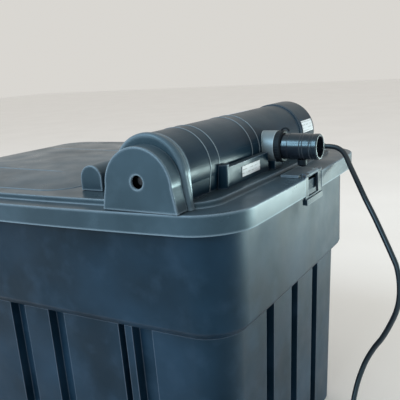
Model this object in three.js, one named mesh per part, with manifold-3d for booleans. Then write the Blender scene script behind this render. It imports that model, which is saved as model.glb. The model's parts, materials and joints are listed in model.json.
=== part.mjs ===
// A flow-through pond filter box: a ribbed tank, a lid held by two latches, a UV clarifier
// lying across the lid, the filter media inside, and the mains lead coiled beside it.
// Millimetres, +Z up. X runs along the long front face, Y runs to the back.
// The origin is the centre of the tank's underside.
import * as THREE from "three";
import { mergeVertices } from "three/addons/utils/BufferGeometryUtils.js";
import Module from "manifold-3d";

const wasm = await Module();
wasm.setup();

// ---- Driving dimensions ----
const LENGTH = 600; // lid, along X
const WIDTH = 440; // lid, along Y
const RIM_Z = 400; // top of the lid's ledge
const CORNER_R = 55;
const SIDE_BOW = 3.7; // how far the middle of a short side stands out
const FRONT_BOW = 16; // how far the middle of a long side stands out
const SKIRT = 22;
const WALL = 3.5;
const GAP = 0.3; // between pieces that touch
const DECK_Z = RIM_Z + 6.5;
const DECK_INSET_X = 36;
const DECK_INSET_Y = 21;
const DECK_R = 36;
const CROWN = 10; // rise of the lid's raised panel above the deck
const COLLAR_INSET = 16.8; // tank collar, in from the lid's edge
const COLLAR_Z = RIM_Z - 135; // bottom of the collar
const CHAMFER = 11.5; // step in below the collar
const DRAFT = 9.5; // how far the lower tank tapers in at the floor
const FLANGE_Z = [RIM_Z - 20, RIM_Z - 7];
const GROOVE_DEPTH = 12;
const LONG_GROOVES = [[-164, 28], [-135, 9], [-33.5, 26], [33.5, 26], [135, 9], [164, 28]]; // [centre, width]
const SHORT_GROOVES = [[-79.6, 23], [0, 23], [79.6, 23]];

const UV_X = 201; // axis of the UV housing, which runs along Y
const UV_Z = RIM_Z + 34;
const UV_R = 44;
const UV_Y = [-192.7, 112]; // housing tube
const DOME_HALF = 40; // half the housing's width where its sides meet the deck
const ARCH_HALF = 50; // half the hood's width at its foot
const CAP_Y = [UV_Y[1] + GAP, 175]; // its electrical end cap
const ARCH_Y = [-207.5, UV_Y[0] - GAP]; // hood over the tube's front end
const SHIELD_Y = [-227.5, ARCH_Y[0] - GAP]; // boss in front of the hood, closed at its front
const SPOUT_Y = 60; // where the housing drains into the tank
const SCREW_Z = UV_Z - 3; // the screw behind the boss, and the hole that reaches it

const NECK_R = 19.8;
const TAIL_R = 16; // hose tail for a 32 mm hose
const TAIL_BORE = 13;
const TAIL_END_X = 312.5;
const NECK_END_X = 258.2;
const TAIL_Z = UV_Z + 0.5;

const LATCH_HALF = 28;
const LATCH_PIN_X = 301.2;
const LATCH_PIN_Z = RIM_Z + 2.6;
const LATCH_PIN_R = 1.6;
const LATCH_DROP = 36; // from the pin to the latch's lower edge
const LATCH_NOTCH_X = 297.4; // where the lid's skirt is cut away for the latch
const LATCH_TOE_X = 298.6; // inner face of the latch's toe, just outside the tank's flange
const LATCH_LIP = 2; // how far the toe stands out for a finger

const LEAD_R = 3.5;
const GLAND = new THREE.Vector3(UV_X + UV_R + GAP, 125, RIM_Z + 16);
const PLUG = { x: 335, y: -268, z: 19 }; // where the lead enters the plug, which points along -X
const COIL = { x: 332, y: -190, inner: 27.3, outer: 56.2, base: 1.6, height: 28.3 };

// ---- Materials ----
const finish = (color, roughness, metalness = 0) =>
  new THREE.MeshStandardMaterial({ color, roughness, metalness });
const CASE = finish(0x2c3a42, 0.4);
const TANK = finish(0x1f2d38, 0.45);
const GLOSS_BLACK = finish(0x14181c, 0.2);
const RUBBER = finish(0x101112, 0.8);
const LABEL = finish(0xe4e6ea, 0.6);
const GRATE = finish(0x2a2f33, 0.6);
const FOAM_COARSE = finish(0x2c5d8f, 1);
const FOAM_FINE = finish(0xd9d2a8, 1);
const QUARTZ = finish(0xdfe9ee, 0.05);
const CERAMIC = finish(0xe8e4da, 0.6);
const STEEL = finish(0xb8bcc0, 0.35, 1);

// ---- Geometry helpers ----
function signedVolume(geometry) {
  const p = geometry.attributes.position;
  const order = geometry.index ? geometry.index.array : [...Array(p.count).keys()];
  const [a, b, c] = [new THREE.Vector3(), new THREE.Vector3(), new THREE.Vector3()];
  let sum = 0;
  for (let i = 0; i < order.length; i += 3) {
    a.fromBufferAttribute(p, order[i]);
    b.fromBufferAttribute(p, order[i + 1]);
    c.fromBufferAttribute(p, order[i + 2]);
    sum += a.dot(b.cross(c));
  }
  return sum;
}

// The same geometry with shared vertices and its faces pointing out.
function closed(geometry) {
  const bare = geometry.clone();
  bare.deleteAttribute("normal");
  bare.deleteAttribute("uv");
  const merged = mergeVertices(bare, 1e-3);
  if (signedVolume(merged) < 0) merged.index.array.reverse();
  return merged;
}

function toSolid(geometry) {
  const g = closed(geometry);
  const vertProperties = g.attributes.position.array;
  const triVerts = new Uint32Array(g.index.array);
  return new wasm.Manifold(new wasm.Mesh({ numProp: 3, vertProperties, triVerts }));
}

function toGeometry(solid) {
  const mesh = solid.getMesh();
  const geometry = new THREE.BufferGeometry();
  geometry.setAttribute("position", new THREE.BufferAttribute(Float32Array.from(mesh.vertProperties), 3));
  geometry.setIndex([...mesh.triVerts]);
  return geometry;
}

const join = (...geometries) => toGeometry(geometries.map(toSolid).reduce((a, b) => a.add(b)));
const cut = (body, ...tools) => toGeometry(tools.map(toSolid).reduce((a, b) => a.subtract(b), toSolid(body)));

// A skin over a stack of outlines with equal point counts, closed at both ends.
function loft(outlines) {
  const count = outlines[0].length;
  const positions = outlines.flat().flatMap((v) => [v.x, v.y, v.z]);
  const index = [];
  for (let k = 0; k + 1 < outlines.length; k++) {
    for (let i = 0; i < count; i++) {
      const [a, b] = [k * count + i, k * count + ((i + 1) % count)];
      index.push(a, b, b + count, a, b + count, a + count);
    }
  }
  for (const [first, flip] of [[0, true], [(outlines.length - 1) * count, false]]) {
    const flat = outlines[first / count].map((v) => new THREE.Vector2(v.x, v.y));
    for (const [a, b, c] of THREE.ShapeUtils.triangulateShape(flat, [])) {
      index.push(...(flip ? [first + a, first + c, first + b] : [first + a, first + b, first + c]));
    }
  }
  const geometry = new THREE.BufferGeometry();
  geometry.setAttribute("position", new THREE.Float32BufferAttribute(positions, 3));
  geometry.setIndex(index);
  return closed(geometry);
}

// Where an outline's side has points: evenly spaced, or at the edges of grooves.
const evenPoints = (half, count) =>
  Array.from({ length: count }, (_, i) => ({ s: -half + (2 * half * i) / (count - 1), depth: 0 }));
function groovePoints(grooves, depth, grow) {
  const slope = 1.5;
  return grooves.flatMap(([centre, width]) => {
    const half = width / 2 + grow;
    return [[-half, 0], [slope - half, depth], [half - slope, depth], [half, 0]].map(([ds, d]) => ({
      s: centre + ds,
      depth: d,
    }));
  });
}

// A rounded rectangle with bowed sides, set in from the lid's plan size, at height z.
function outline({ insetX, insetY, radius, z, bowX = SIDE_BOW, bowY = FRONT_BOW, long, short, arc = 5 }) {
  const [hx, hy] = [LENGTH / 2 - insetX, WIDTH / 2 - insetY];
  const flat = [];
  for (let side = 0; side < 4; side++) {
    const turn = (side * Math.PI) / 2;
    const [reach, across] = side % 2 ? [hx, hy] : [hy, hx];
    const points = (side % 2 ? short : long).map(({ s, depth }) => [s, depth - reach]);
    for (let i = 0; i <= arc; i++) {
      const a = -Math.PI / 2 + (i * Math.PI) / 2 / arc;
      points.push([across - radius + radius * Math.cos(a), radius - reach + radius * Math.sin(a)]);
    }
    const [c, s] = [Math.cos(turn), Math.sin(turn)];
    flat.push(...points.map(([x, y]) => [c * x - s * y, s * x + c * y]));
  }
  return flat.map(([x, y]) => {
    const [u, v] = [x / (LENGTH / 2), y / (WIDTH / 2)];
    return new THREE.Vector3(x + u * bowX * (1 - v * v), y + v * bowY * (1 - u * u), z);
  });
}

// A turned piece about +Y. The profile lists [radius, y] and closes on itself or on the axis.
const turned = (profile, segments = 24) =>
  new THREE.LatheGeometry(profile.map(([r, y]) => new THREE.Vector2(r, y)), segments);
const rod = (radius, from, to, segments = 24) =>
  turned([[0, from], [radius, from], [radius, to], [0, to]], segments);
const pipe = (inner, outer, from, to, segments = 24) =>
  turned([[inner, from], [outer, from], [outer, to], [inner, to], [inner, from]], segments);
const alongX = (geometry) => geometry.rotateZ(-Math.PI / 2);
const alongZ = (geometry) => geometry.rotateX(Math.PI / 2);
const at = (geometry, x, y, z) => geometry.translate(x, y, z);

function box(x, y, z) {
  const geometry = new THREE.BoxGeometry(x[1] - x[0], y[1] - y[0], z[1] - z[0]);
  return at(geometry, (x[0] + x[1]) / 2, (y[0] + y[1]) / 2, (z[0] + z[1]) / 2);
}

// A flat shape in the XZ plane, given thickness from y[0] to y[1].
function slab(shape, y, curveSegments = 16) {
  const depth = y[1] - y[0];
  const geometry = new THREE.ExtrudeGeometry(shape, { depth, bevelEnabled: false, curveSegments });
  return at(geometry.rotateX(Math.PI / 2), 0, y[1], 0);
}

// A round-topped doorway outline in (x, z).
function archShape(x, half, base, centreZ, radius) {
  const shape = new THREE.Shape();
  shape.moveTo(x - half, base);
  shape.lineTo(x + half, base);
  shape.lineTo(x + radius, centreZ);
  shape.absarc(x, centreZ, radius, 0, Math.PI, false);
  shape.closePath();
  return shape;
}

function tubeAlong(points, radius, steps, sides) {
  const section = new THREE.Shape();
  for (let i = 0; i < sides; i++) {
    const a = (2 * Math.PI * i) / sides;
    const [x, y] = [radius * Math.cos(a), radius * Math.sin(a)];
    if (i) section.lineTo(x, y);
    else section.moveTo(x, y);
  }
  section.closePath();
  const extrudePath = new THREE.CatmullRomCurve3(points);
  return new THREE.ExtrudeGeometry(section, { steps, extrudePath, bevelEnabled: false, curveSegments: 1 });
}

const model = new THREE.Group();
function add(name, geometry, material) {
  const mesh = new THREE.Mesh(closed(geometry), material);
  mesh.name = name;
  model.add(mesh);
  return mesh;
}

// ---- Tank ----
const tankRing = (inset, z, depth = 0, grow = 0, extra = {}) =>
  outline({
    insetX: inset,
    insetY: inset,
    radius: Math.max(CORNER_R - 7.5 - (inset - COLLAR_INSET) * 0.6, 20),
    z,
    bowX: 3,
    bowY: 2,
    long: groovePoints(LONG_GROOVES, depth, grow),
    short: groovePoints(SHORT_GROOVES, depth, grow),
    ...extra,
  });
const FLANGE_INSET = 5.5;
const flangeRing = (z) =>
  tankRing(FLANGE_INSET, z, 0, 0, { radius: CORNER_R - 6, bowX: SIDE_BOW, bowY: FRONT_BOW });

const LOWER_INSET = COLLAR_INSET + CHAMFER;
const LOWER_Z = COLLAR_Z - CHAMFER;
const OUTLET = { y: 0, z: 318, pad: 40, bore: 25.5 };
const DRAIN = { y: 40, z: 46, pad: 22, bore: 13.2 };
const COLLAR_FACE_X = -(LENGTH / 2 - COLLAR_INSET) - 7; // outer face of the outlet pad
const DRAIN_FACE_X = -(LENGTH / 2 - LOWER_INSET) + 2.5; // outer face of the drain pad

function tankShell() {
  const outer = [
    tankRing(LOWER_INSET + DRAFT, 0, GROOVE_DEPTH),
    tankRing(LOWER_INSET, LOWER_Z - 1, GROOVE_DEPTH),
    tankRing(LOWER_INSET, LOWER_Z),
    tankRing(COLLAR_INSET, COLLAR_Z),
    tankRing(COLLAR_INSET - 2, FLANGE_Z[0] - 2),
    ...FLANGE_Z.map(flangeRing),
  ];
  const inner = [
    tankRing(COLLAR_INSET - 2 + WALL, FLANGE_Z[1]),
    tankRing(COLLAR_INSET + WALL, COLLAR_Z + 2),
    tankRing(LOWER_INSET + WALL, LOWER_Z + 1),
    tankRing(LOWER_INSET + WALL, LOWER_Z - 3, GROOVE_DEPTH, WALL),
    tankRing(LOWER_INSET + DRAFT + WALL, 4, GROOVE_DEPTH, WALL),
  ];
  return loft([...outer, ...inner]);
}

// A round pad that gives a fitting a flat, upright face, on the tank's left side.
const pad = ({ y, z, pad: radius }, face, depth) => at(alongX(rod(radius, 0, depth)), face, y, z);

function tankGeometry() {
  const bores = [
    [OUTLET, COLLAR_FACE_X],
    [DRAIN, DRAIN_FACE_X],
  ].map(([f, face]) => at(alongX(rod(f.bore, -5, 30)), face, f.y, f.z));
  const padded = join(tankShell(), pad(OUTLET, COLLAR_FACE_X, 8), pad(DRAIN, DRAIN_FACE_X, 9));
  return cut(padded, ...bores);
}

// ---- Lid ----
const LID_POINTS = { long: evenPoints(200, 9), short: evenPoints(130, 5) };
const lidRing = (insetX, insetY, radius, z) => outline({ insetX, insetY, radius, z, ...LID_POINTS });
const lidSkin = (t, below) => [
  lidRing(0.5 + t, 0.5 + t, CORNER_R - t, RIM_Z - SKIRT - below),
  lidRing(t, t, CORNER_R - t, RIM_Z - 1.5 - t),
  lidRing(t + (t ? 0.5 : 1.5), t + (t ? 0.5 : 1.5), CORNER_R - t - 1.5, RIM_Z - t), // rounded only outside
  lidRing(DECK_INSET_X - 1 + t, DECK_INSET_Y - 1 + t, DECK_R - t, RIM_Z - t),
  lidRing(DECK_INSET_X + t, DECK_INSET_Y + t, DECK_R - t, DECK_Z - 1 - t),
  lidRing(DECK_INSET_X + 1 + t, DECK_INSET_Y + 1 + t, DECK_R - t, DECK_Z - t),
];

// The raised panel on the left of the lid, as one crowned heap.
function crown(drop) {
  const panel = { x: -96, y: -8, halfX: 166, halfY: 186, radius: 40 };
  const ring = (t, z) => {
    const shrink = 1 - t;
    const [hx, hy, r] = [panel.halfX * shrink - drop, panel.halfY * shrink - drop, panel.radius * shrink];
    const points = [];
    for (const [sx, sy, start] of [[1, -1, -90], [1, 1, 0], [-1, 1, 90], [-1, -1, 180]]) {
      for (let i = 0; i <= 4; i++) {
        const a = THREE.MathUtils.degToRad(start + i * 22.5);
        const [cx, cy] = [panel.x + sx * (hx - r), panel.y + sy * (hy - r)];
        points.push(new THREE.Vector3(cx + r * Math.cos(a), cy + r * Math.sin(a), z - drop));
      }
    }
    return points;
  };
  const levels = [0.02, 0.12, 0.3, 0.55, 0.8].map((t) => ring(t, DECK_Z + CROWN * (1 - (1 - t) ** 3)));
  return loft([ring(0.02, DECK_Z - 2), ...levels]);
}

function lidGeometry() {
  const troughY = [UV_Y[0] - 1, CAP_Y[1] + 1];
  const outer = toSolid(loft(lidSkin(0, 0))).add(toSolid(crown(0)));
  const inner = toSolid(loft(lidSkin(WALL, 5))).add(toSolid(crown(WALL)));
  const troughOut = at(rod(UV_R + 5, troughY[0] - WALL, troughY[1] + WALL, 32), UV_X, 0, UV_Z);
  const belowDeck = box([100, 290], [-210, 200], [300, DECK_Z - 1]);
  const trough = toSolid(troughOut).intersect(toSolid(belowDeck));
  const troughIn = at(rod(UV_R + 0.6, ...troughY, 32), UV_X, 0, UV_Z);
  const drainHole = at(alongZ(rod(15.6, 350, 400)), UV_X, SPOUT_Y, 0);
  const notchY = [-LATCH_HALF - 1.5, LATCH_HALF + 1.5];
  const notches = [[-310, -LATCH_NOTCH_X], [LATCH_NOTCH_X, 310]].map((x) => box(x, notchY, [370, 410]));
  const body = outer.subtract(inner).add(trough);
  return toGeometry([troughIn, drainHole, ...notches].map(toSolid).reduce((a, b) => a.subtract(b), body));
}

// The rubber strip on the tank's flange.
function sealGeometry() {
  const ring = (inset, z) => lidRing(inset, inset, CORNER_R - inset, z);
  const z = [FLANGE_Z[1] + GAP, RIM_Z - WALL - GAP];
  return cut(loft([ring(15, z[0]), ring(15, z[1])]), loft([ring(20, z[0] - 1), ring(20, z[1] + 1)]));
}

// ---- Latches: an anchor plate on the ledge, a pin, and a window frame that swings out ----
function latchParts() {
  const [pinX, pinZ, eye] = [LATCH_PIN_X, LATCH_PIN_Z, 3.1];
  const centre = 16.5;
  const eyeHole = at(rod(LATCH_PIN_R + 0.15, -60, 60, 16), pinX, 0, pinZ);
  const barrel = at(rod(eye, -centre, centre, 16), pinX, 0, pinZ);
  const plate = box([271, pinX - 1], [-centre, centre], [RIM_Z + GAP, RIM_Z + GAP + 3]);
  const wide = box([271, 294], [-LATCH_HALF, LATCH_HALF], [RIM_Z + GAP, RIM_Z + GAP + 3]);
  const legTop = pinZ - 0.5;
  const frameX = [pinX - 1.5, pinX + 1.5];
  const frame = box(frameX, [-LATCH_HALF, LATCH_HALF], [pinZ - LATCH_DROP, legTop]);
  const foot = pinZ - LATCH_DROP;
  const opening = box([pinX - eye - 1, pinX + eye + 1], [-centre - 1, centre + 1], [foot + 9, pinZ + 9]);
  const toe = box([LATCH_TOE_X, frameX[1] + LATCH_LIP], [-LATCH_HALF, LATCH_HALF], [foot, foot + 7]);
  const eyes = at(rod(eye, -LATCH_HALF, LATCH_HALF, 16), pinX, 0, pinZ);
  return {
    anchor: cut(join(barrel, plate, wide), eyeHole),
    frame: cut(join(frame, toe, eyes), opening, eyeHole),
    pin: at(rod(LATCH_PIN_R, -LATCH_HALF, LATCH_HALF, 16), pinX, 0, pinZ),
  };
}

// ---- UV clarifier ----
function uvHousing() {
  const shell = at(rod(UV_R, ...UV_Y, 36), UV_X, 0, UV_Z);
  const sides = slab(archShape(UV_X, DOME_HALF, DECK_Z + GAP, UV_Z, UV_R), UV_Y, 18);
  const hollow = at(rod(UV_R - 3, UV_Y[0] + 3, UV_Y[1] + 5, 36), UV_X, 0, UV_Z);
  const neck = at(alongX(rod(NECK_R, 38, NECK_END_X - UV_X)), UV_X, 0, TAIL_Z);
  const pedestal = box([UV_X + 30, NECK_END_X - 1], [-11, 11], [DECK_Z + GAP, TAIL_Z - 12]);
  const neckBore = at(alongX(rod(TAIL_BORE, 20, 90)), UV_X, 0, TAIL_Z);
  const stub = at(alongZ(rod(15, UV_Z - 62, UV_Z - 40)), UV_X, SPOUT_Y, 0);
  const stubBore = at(alongZ(rod(12.5, 350, UV_Z - 30)), UV_X, SPOUT_Y, 0);
  return cut(join(shell, sides, neck, pedestal, stub), hollow, neckBore, stubBore);
}

function endCap() {
  const r = UV_R;
  const far = CAP_Y[1];
  const profile = [
    [38.5, CAP_Y[0] - 12],
    [38.5, CAP_Y[0]],
    [r, CAP_Y[0]],
    [r, far - 8],
    [r - 2.5, far - 2.5],
    [r - 8, far],
    [0, far],
    [0, far - 3],
    [r - 9, far - 3],
    [r - 3.5, far - 9],
    [r - 3.5, CAP_Y[0] + 3],
    [35.5, CAP_Y[0] + 3],
    [35.5, CAP_Y[0] - 12],
    [38.5, CAP_Y[0] - 12],
  ];
  return at(turned(profile, 36), UV_X, 0, UV_Z);
}

// The room that the lid's raised deck takes under a cover that reaches past its edge to the ledge.
const deckRoom = () =>
  loft(
    [RIM_Z - 5, DECK_Z + GAP].map((z) =>
      lidRing(DECK_INSET_X - 1 - GAP, DECK_INSET_Y - 1 - GAP, DECK_R + 1, z),
    ),
  );

function archHood() {
  const hood = slab(archShape(UV_X, ARCH_HALF, RIM_Z + GAP, UV_Z, UV_R), ARCH_Y, 20);
  const roomY = [ARCH_Y[0] + 4, ARCH_Y[1] + 1];
  const inside = slab(archShape(UV_X, ARCH_HALF - 6, RIM_Z - 5, UV_Z, UV_R - 4), roomY, 20);
  return cut(hood, inside, deckRoom());
}

function frontShield() {
  const archZ = UV_Z - 8;
  const boss = slab(archShape(UV_X, 46, RIM_Z + GAP, archZ, 41), SHIELD_Y, 20);
  const inside = slab(archShape(UV_X, 42, RIM_Z - 5, archZ, 37), [SHIELD_Y[0] + 4, SHIELD_Y[1] + 1], 20);
  const hole = at(rod(7, SHIELD_Y[0] - 2, SHIELD_Y[0] + 6, 24), UV_X, 0, SCREW_Z);
  return cut(boss, inside, deckRoom(), hole);
}

// A small round-topped cover running back along the left of the housing.
function sideDuct() {
  const [x, radius, y] = [99.7, 15.3, [-178, -58]];
  const springZ = RIM_Z + 21.2;
  const wall = 2.5;
  const [inside, roomY] = [radius - wall, [y[0] + wall, y[1] - wall]];
  const outer = slab(archShape(x, radius, DECK_Z + GAP, springZ, radius), y, 12);
  return cut(outer, slab(archShape(x, inside, DECK_Z - 5, springZ, inside), roomY, 12));
}

// The rail on the right of the housing, cut to the housing's side.
function clampRail() {
  const [front, back, innerX, outerX, topZ, nose] = [-135, -NECK_R - 1, 232, 252, RIM_Z + 30, 8];
  const plan = new THREE.Shape();
  plan.moveTo(innerX, front);
  plan.absarc(outerX - nose, front + nose, nose, -Math.PI / 2, 0, false);
  plan.lineTo(outerX, back);
  plan.lineTo(innerX, back);
  plan.closePath();
  const depth = topZ - DECK_Z - GAP;
  const block = new THREE.ExtrudeGeometry(plan, { depth, bevelEnabled: false, curveSegments: 6 });
  const post = at(alongZ(rod(nose, DECK_Z + GAP, topZ + 3, 20)), outerX - nose, front + nose, 0);
  const grow = 2 * GAP;
  const seat = slab(archShape(UV_X, DOME_HALF + grow, DECK_Z - 5, UV_Z, UV_R + grow), UV_Y, 18);
  return cut(join(at(block, 0, 0, DECK_Z + GAP), post), seat);
}

// A label as a thin shell on the housing, between two angles above +X.
function curvedLabel(from, to, y) {
  const shape = new THREE.Shape();
  const [a, b] = [from, to].map(THREE.MathUtils.degToRad);
  shape.absarc(UV_X, UV_Z, UV_R + GAP + 0.5, a, b, false);
  shape.absarc(UV_X, UV_Z, UV_R + GAP, b, a, true);
  shape.closePath();
  return slab(shape, y, 10);
}

function lampGeometry() {
  const legs = [-8, 8].map((dx) => at(rod(6, -150, 84, 12), UV_X + dx, 0, UV_Z));
  const bridge = box([UV_X - 8, UV_X + 8], [-150, -142], [UV_Z - 3, UV_Z + 3]);
  const base = at(rod(15, 82, 106, 24), UV_X, 0, UV_Z);
  return join(...legs, bridge, base);
}

// A tube closed by a shallow dome at its front end.
function sleeveProfile() {
  const outside = [[19, 108], [19, -165], [13, -172], [0, -174]];
  const inside = [[0, -172.4], [12, -170.5], [17.4, -164]];
  return [[17.4, 108], ...outside, ...inside, [17.4, 108]];
}

// A pan-headed screw whose shank ends at the hood.
function screwProfile() {
  const [head, neck, tip] = [-219, -215.5, ARCH_Y[0] - GAP];
  return [[0, head], [5, head], [5.5, neck], [2.4, neck], [2.4, tip], [0, tip]];
}

// ---- Inlet: neck, seal, tail, union nut ----
function inletNut() {
  const start = NECK_END_X + GAP;
  const profile = [
    [18.9, start],
    [20.6, start],
    [20.6, start + 8],
    [16.4, start + 8],
    [16.4, start + 4.7],
    [18.9, start + 4.7],
    [18.9, start],
  ];
  const ring = at(alongX(turned(profile)), 0, 0, TAIL_Z);
  const arc = Array.from({ length: 7 }, (_, i) => {
    const a = Math.PI - (i * Math.PI) / 6;
    return new THREE.Vector3(start + 9 + 5 * Math.cos(a), 0, TAIL_Z + 18.6 + 4.4 * Math.sin(a));
  });
  return join(ring, tubeAlong(arc, 1.3, 8, 8));
}

function inletTail() {
  const [root, end] = [NECK_END_X + 1.8, TAIL_END_X];
  const profile = [
    [TAIL_BORE, root],
    [18.6, root],
    [18.6, root + 2.8],
    [15.4, root + 2.8],
    [15.4, end - 22],
    [TAIL_R - 0.3, end - 21],
    [TAIL_R - 0.3, end - 8],
    [TAIL_R, end - 7],
    [TAIL_R, end - 1],
    [TAIL_R - 1, end],
    [TAIL_BORE, end],
    [TAIL_BORE, root],
  ];
  return at(alongX(turned(profile)), 0, 0, TAIL_Z);
}

// ---- Outlet and drain on the left side; profiles run from the tank's inside outwards ----
const outwards = (geometry, face, { y, z }) => at(alongX(geometry).rotateZ(Math.PI), face, y, z);

function outletFlange() {
  const flange = [[25, -22], [25, 1.8], [37, 1.8], [37, 6.8], [29, 6.8], [29, 26]];
  return turned([[21, -22], ...flange, [21, 26], [21, -22]], 32);
}

function outletTail() {
  const outside = [[27, 27.6], [27, 31], [25, 31], [25, 62], [20.5, 66], [20.5, 96]];
  return turned([[18, 27.6], ...outside, [18, 96], [18, 27.6]]);
}

function outletNut() {
  const ring = turned([[29.8, 12], [33, 12], [33, 34], [25.6, 34], [25.6, 31.4], [29.8, 31.4], [29.8, 12]]);
  const rib = (i) => box([32, 35], [13, 33], [-2, 2]).rotateY((i * Math.PI) / 4);
  return join(ring, ...Array.from({ length: 8 }, (_, i) => rib(i)));
}

function drainBody() {
  const outside = [[12.8, -16], [12.8, 1.8], [20, 1.8], [20, 5.8], [13.5, 5.8], [13.5, 18]];
  return turned([[9.5, -16], ...outside, [9.5, 18], [9.5, -16]]);
}

function drainCap() {
  const cup = turned([[0, 20.3], [0, 24], [18, 24], [18, 7], [13.9, 7], [13.9, 20.3], [0, 20.3]], 24);
  const grips = box([-23, 23], [21, 30], [-3, 3]);
  return join(cup, grips);
}

const lockNut = (inner, outer, from, to) => cut(rod(outer, from, to, 6), rod(inner, from - 1, to + 1));

// ---- Filter media ----
const MEDIA_Y = [-158, 158];
const FLOOR_Z = 4.6; // where pieces stand inside the tank

function partition(x, windowZ) {
  const wall = box([x, x + 4], MEDIA_Y, [FLOOR_Z, 250]);
  const windows = [[-130, -15], [15, 130]].map((y) => box([x - 1, x + 5], y, windowZ));
  return cut(wall, ...windows);
}

function foamGrid() {
  const plate = box([-112, 96], MEDIA_Y, [34, 38]);
  const corners = [[-108, -150], [-108, 142], [84, -150], [84, 142]];
  const legs = corners.map(([x, y]) => box([x, x + 8], [y, y + 8], [FLOOR_Z, 35]));
  const slots = [-2, -1, 0, 1, 2].map((i) => box([-100, 84], [i * 56 - 18, i * 56 + 18], [30, 42]));
  return cut(join(plate, ...legs), ...slots);
}

function foamRetainer() {
  const frame = box([-112, 96], MEDIA_Y, [240.5, 246]);
  const windows = [[-144, -6], [6, 144]].map((y) => box([-98, 82], y, [230, 250]));
  return cut(frame, ...windows);
}

function mediaBasket() {
  const outer = box([-236, -124], [-150, 150], [FLOOR_Z - 0.1, 160]);
  const inner = box([-233, -127], [-147, 147], [7.5, 170]);
  const side = [-2, -1, 0, 1, 2].map((i) => box([-240, -120], [i * 56 - 16, i * 56 + 16], [40, 130]));
  return cut(outer, inner, ...side);
}

// ---- Mains lead ----
const ROUTE = [
  [277.1, 125, 416], [283.5, 125, 416], [292.6, 123.5, 415], [301.4, 119.3, 411.9], [309, 112, 407.2],
  [322.8, 91.5, 393.7], [337, 71.5, 379.3], [352, 55, 360], [368, 42, 338], [383, 32, 313.5],
  [393, 25, 297], [400.4, 20, 283], [404.5, 16, 263], [404.5, 14, 244], [400.6, 16, 226.5],
  [392, 22, 205], [381, 28, 182.5], [369, 33, 163], [358, 34, 141], [350, 27, 115],
  [347, 12, 88], [350, -10, 62], [356, -38, 38], [363, -66, 20], [371, -94, 8.8],
  [378, -120, 5.9], [383, -142, 5.2], [384.7, -161.9, 5.1],
].map((p) => new THREE.Vector3(...p));

function coilGeometry() {
  const { inner, outer, base, height } = COIL;
  const top = base + height;
  const c = 3;
  const profile = [
    [inner, base + c], [inner + c, base], [outer - c, base], [outer, base + c], [outer, top - c],
    [outer - c, top], [inner + c, top], [inner, top - c], [inner, base + c],
  ];
  return at(alongZ(turned(profile, 28)), COIL.x, COIL.y, 0);
}

function coilTie() {
  const { inner, outer, base, height } = COIL;
  const [from, to, halfWidth] = [COIL.x - outer, COIL.x - inner + 1, 4.5];
  const band = (grow, half) =>
    box([from - grow, to + grow], [COIL.y - half, COIL.y + half], [base - grow, base + height + grow]);
  return cut(band(1.4, halfWidth), band(GAP, halfWidth + 1));
}

function plugGeometry() {
  const profile = [[0, 0], [4.5, 0], [6, 16], [9, 20], [18, 26], [18.5, 46], [17, 50], [0, 50]];
  const pins = [-9.5, 9.5].map((z) => at(rod(2.4, 49, 68, 12), 0, 0, z));
  return join(turned(profile, 28), ...pins);
}

// ---- Assembly ----
function addTank() {
  add("tank", tankGeometry(), TANK);
  add("lid_seal", sealGeometry(), RUBBER);
  add("partition_inlet", partition(100, [20, 60]), GRATE);
  add("partition_outlet", partition(-118, [170, 235]), GRATE);
  add("foam_grid", foamGrid(), GRATE);
  const foamX = -112;
  const foamStep = 41.5;
  for (let i = 0; i < 5; i++) {
    const x = foamX + i * foamStep;
    const foam = box([x, x + foamStep - 1], MEDIA_Y, [38.5, 240]);
    add(`foam_${i + 1}`, foam, i % 2 ? FOAM_FINE : FOAM_COARSE);
  }
  add("foam_retainer", foamRetainer(), GRATE);
  add("media_basket", mediaBasket(), GRATE);
  for (let i = 0; i < 4; i++) {
    const ball = new THREE.IcosahedronGeometry(22, 1);
    add(`bio_ball_${i + 1}`, at(ball, i % 2 ? -204 : -156, -104 + i * 52, 30), GLOSS_BLACK);
  }
}

function addFittings() {
  add("outlet_flange", outwards(outletFlange(), COLLAR_FACE_X, OUTLET), GLOSS_BLACK);
  add("outlet_gasket", outwards(pipe(25.6, 36, GAP, 1.5, 32), COLLAR_FACE_X, OUTLET), RUBBER);
  add("outlet_locknut", outwards(lockNut(25.8, 38, -20, -12), COLLAR_FACE_X, OUTLET), GLOSS_BLACK);
  add("outlet_tail_seal", outwards(pipe(21.5, 27, 26.3, 27.3), COLLAR_FACE_X, OUTLET), RUBBER);
  add("outlet_tail", outwards(outletTail(), COLLAR_FACE_X, OUTLET), GLOSS_BLACK);
  add("outlet_nut", outwards(outletNut(), COLLAR_FACE_X, OUTLET), GLOSS_BLACK);
  add("drain_body", outwards(drainBody(), DRAIN_FACE_X, DRAIN), GLOSS_BLACK);
  add("drain_gasket", outwards(pipe(13.4, 19.5, GAP, 1.5), DRAIN_FACE_X, DRAIN), RUBBER);
  add("drain_locknut", outwards(lockNut(13.6, 21, -15, -10), DRAIN_FACE_X, DRAIN), GLOSS_BLACK);
  add("drain_cap", outwards(drainCap(), DRAIN_FACE_X, DRAIN), GLOSS_BLACK);
  add("drain_cap_seal", outwards(pipe(9.5, 13, 18.3, 20), DRAIN_FACE_X, DRAIN), RUBBER);
}

function addLid() {
  add("lid", lidGeometry(), CASE);
  add("front_shield", frontShield(), CASE);
  add("uv_arch", archHood(), CASE);
  add("side_duct", sideDuct(), CASE);
  add("clamp_rail", clampRail(), CASE);
  const { anchor, frame, pin } = latchParts();
  for (const [side, turn] of [["right", 0], ["left", Math.PI]]) {
    add(`latch_anchor_${side}`, anchor, CASE).rotation.z = turn;
    add(`latch_${side}`, frame, CASE).rotation.z = turn;
    add(`latch_pin_${side}`, pin, STEEL).rotation.z = turn;
  }
}

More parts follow.
